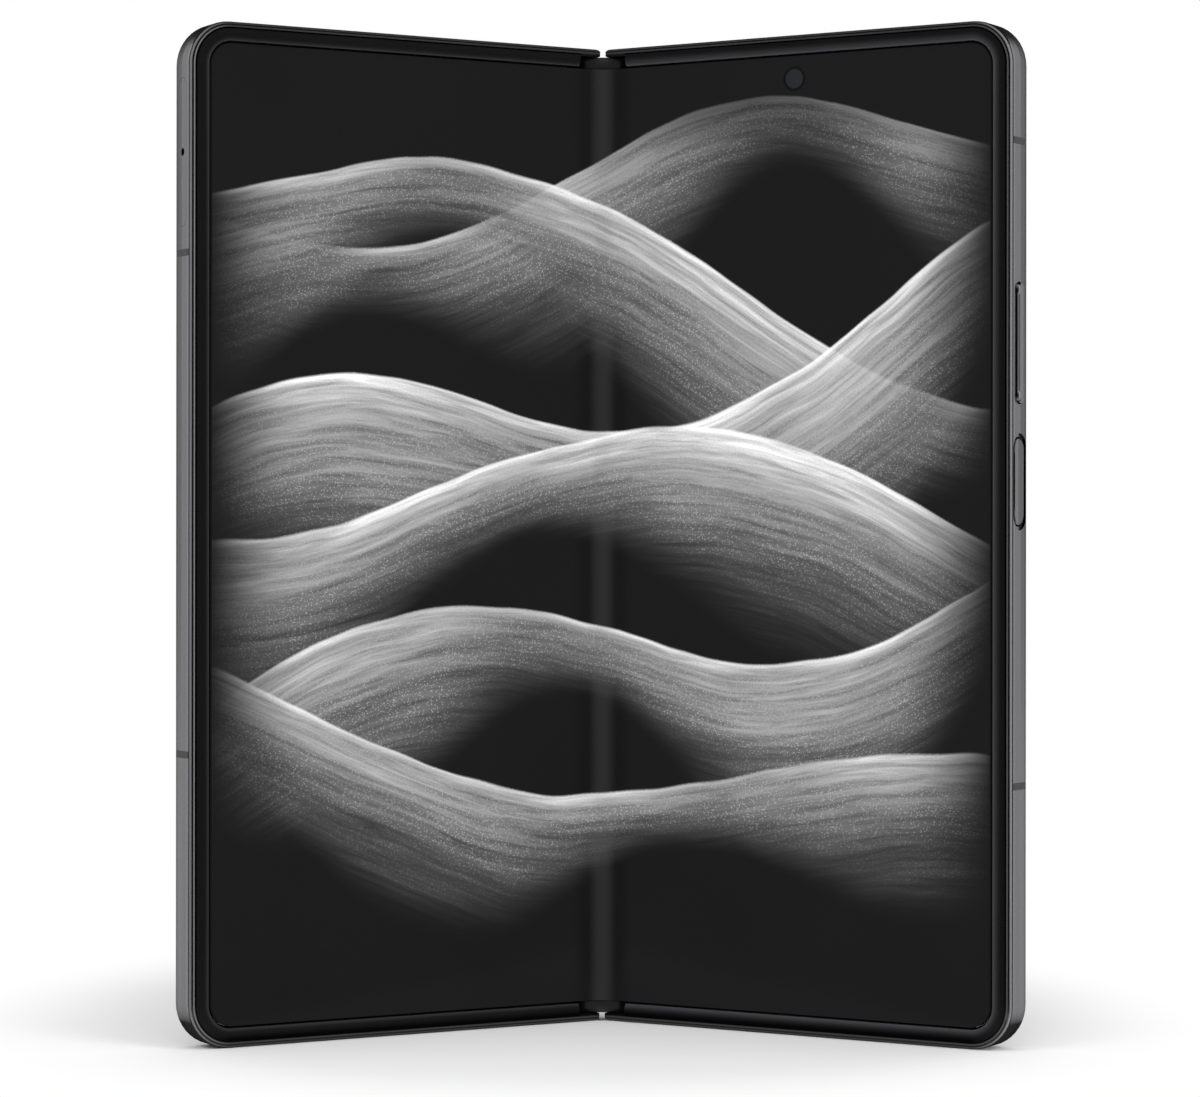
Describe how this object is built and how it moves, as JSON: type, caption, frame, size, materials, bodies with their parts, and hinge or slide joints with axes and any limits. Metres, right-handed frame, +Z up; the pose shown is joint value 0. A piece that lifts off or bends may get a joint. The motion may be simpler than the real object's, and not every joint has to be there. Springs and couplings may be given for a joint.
{
  "type": "foldable smartphone",
  "caption": "Book-style folding phone, half open on its lower edges, with a geared hinge, inner folding display, cover display, side keys and card tray.",
  "frame": {"origin": "centre of the underside of the bounding box of the phone as stored, half open and standing on its lower edges", "axes": "+Z up along the hinge, +X to the right as the inner display is seen, -Y the way the inner display faces"},
  "size_m": [0.131, 0.041, 0.1582],
  "materials": {
    "metal": "satin graphite",
    "polished_metal": "polished",
    "steel": "machined",
    "band": "satin",
    "border": "soft satin",
    "black_plastic": "satin",
    "display": "gloss with a greyscale screen design",
    "rear_glass": "satin coated glass",
    "cover_glass": "gloss glass over a dark panel",
    "lens": "coated glass",
    "flash": "diffusing",
    "board": "solder mask",
    "pouch": "foil pouch",
    "plate": "stamped plate",
    "copper": "wound wire"
  },
  "bodies": {
    "spine": {"spine_cover": "metal", "hinge_end_caps": "black_plastic", "hinge_brackets": "steel", "hinge_beam": "steel", "display_fold": "display"},
    "left_half": {"left_rotators": "steel", "left_hinge_screws": "polished_metal", "left_frame": "metal", "left_antenna_bands": "band", "left_trim": "border", "left_display": "display", "left_support_plate": "plate", "cover_glass": "cover_glass", "cover_panel": "black_plastic", "cover_camera": "lens", "earpiece": "black_plastic", "left_board": "board", "left_battery": "pouch", "vibration_motor": "steel"},
    "right_half": {"right_rotators": "steel", "right_hinge_screws": "polished_metal", "right_frame": "metal", "right_antenna_bands": "band", "right_trim": "border", "right_display": "display", "right_support_plate": "plate", "rear_glass": "rear_glass", "camera_plate": "metal", "lens_rings": "polished_metal", "lens_glass": "lens", "camera_modules": "black_plastic", "flash_lens": "flash", "main_board": "board", "shield_can": "steel", "right_battery": "pouch", "charging_coil": "copper", "sub_board": "board", "speaker": "black_plastic", "usb_socket": "steel", "inner_camera": "lens", "key_switches": "black_plastic"},
    "gear_left_outer": {"left_main_gear": "steel"},
    "gear_left_inner": {"left_idler_gear": "steel"},
    "gear_right_inner": {"right_idler_gear": "steel"},
    "gear_right_outer": {"right_main_gear": "steel"},
    "volume_key": {"volume_key": "metal"},
    "power_key": {"power_key": "metal"},
    "card_tray": {"card_tray": "metal"}
  },
  "joints": [
    {"name": "left_fold", "type": "hinge", "parent": "spine", "child": "left_half", "pos_m": [-0.0016, 0.01455, 0.0791], "axis": [0, 0, 1], "range_deg": [-30, 60], "deforming": ["display_fold"]},
    {"name": "right_fold", "type": "hinge", "parent": "spine", "child": "right_half", "pos_m": [0.0016, 0.01455, 0.0791], "axis": [0, 0, 1], "range_deg": [-60, 30], "deforming": ["display_fold"]},
    {"name": "gear_left_outer_turn", "type": "hinge", "parent": "spine", "child": "gear_left_outer", "pos_m": [-0.003, 0.01695, 0.0791], "axis": [0, 0, 1], "range_deg": [-107.21, 53.85]},
    {"name": "gear_left_inner_turn", "type": "hinge", "parent": "spine", "child": "gear_left_inner", "pos_m": [-0.001, 0.01695, 0.0791], "axis": [0, 0, 1], "range_deg": [-53.85, 107.21]},
    {"name": "gear_right_inner_turn", "type": "hinge", "parent": "spine", "child": "gear_right_inner", "pos_m": [0.001, 0.01695, 0.0791], "axis": [0, 0, 1], "range_deg": [-107.21, 53.85]},
    {"name": "gear_right_outer_turn", "type": "hinge", "parent": "spine", "child": "gear_right_outer", "pos_m": [0.003, 0.01695, 0.0791], "axis": [0, 0, 1], "range_deg": [-53.85, 107.21]},
    {"name": "volume_press", "type": "slide", "parent": "right_half", "child": "volume_key", "axis": [-0.866, 0.5, 0], "range_m": [0, 0.00025], "stiffness_N_per_m": 2000, "springref_m": -0.0004},
    {"name": "power_press", "type": "slide", "parent": "right_half", "child": "power_key", "axis": [-0.866, 0.5, 0], "range_m": [0, 0.00025], "stiffness_N_per_m": 2000, "springref_m": -0.0004},
    {"name": "tray_slide", "type": "slide", "parent": "left_half", "child": "card_tray", "axis": [-0.866, -0.5, 0], "range_m": [0, 0.016]}
  ],
  "couplings": [
    {"joint": "right_fold", "follows": "left_fold", "ratio": -1},
    {"joint": "gear_left_outer_turn", "follows": "left_fold", "ratio": -1.7785},
    {"joint": "gear_left_inner_turn", "follows": "left_fold", "ratio": 1.7785},
    {"joint": "gear_right_inner_turn", "follows": "left_fold", "ratio": -1.7785},
    {"joint": "gear_right_outer_turn", "follows": "left_fold", "ratio": 1.7785}
  ]
}
